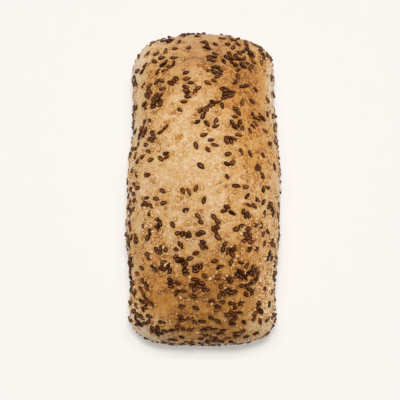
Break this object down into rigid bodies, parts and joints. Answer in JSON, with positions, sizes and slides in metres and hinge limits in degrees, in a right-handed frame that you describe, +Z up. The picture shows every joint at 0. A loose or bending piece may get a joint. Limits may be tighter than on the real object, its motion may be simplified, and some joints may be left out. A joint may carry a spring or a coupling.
{
  "type": "sandwich loaf",
  "caption": "Small blunt-ended sandwich loaf with an arched crown and a flat underside, its golden crust covered in brown linseed and pale sesame.",
  "frame": {"origin": "centre of the loaf's outline, on the surface that its flat underside rests on", "axes": "+X across the loaf, +Y along it towards its rounder end, +Z up out of the crown"},
  "size_m": [0.1032, 0.2128, 0.086],
  "materials": {
    "crust": "baked crust, matt, pale gold on the crown, deeper brown towards one end and cream low on the walls",
    "linseed": "dark brown linseed husk, smooth and slightly glossy",
    "sesame": "hulled sesame seed, toasted pale tan, satin"
  },
  "bodies": {
    "root": {"loaf": "crust"}
  },
  "joints": []
}
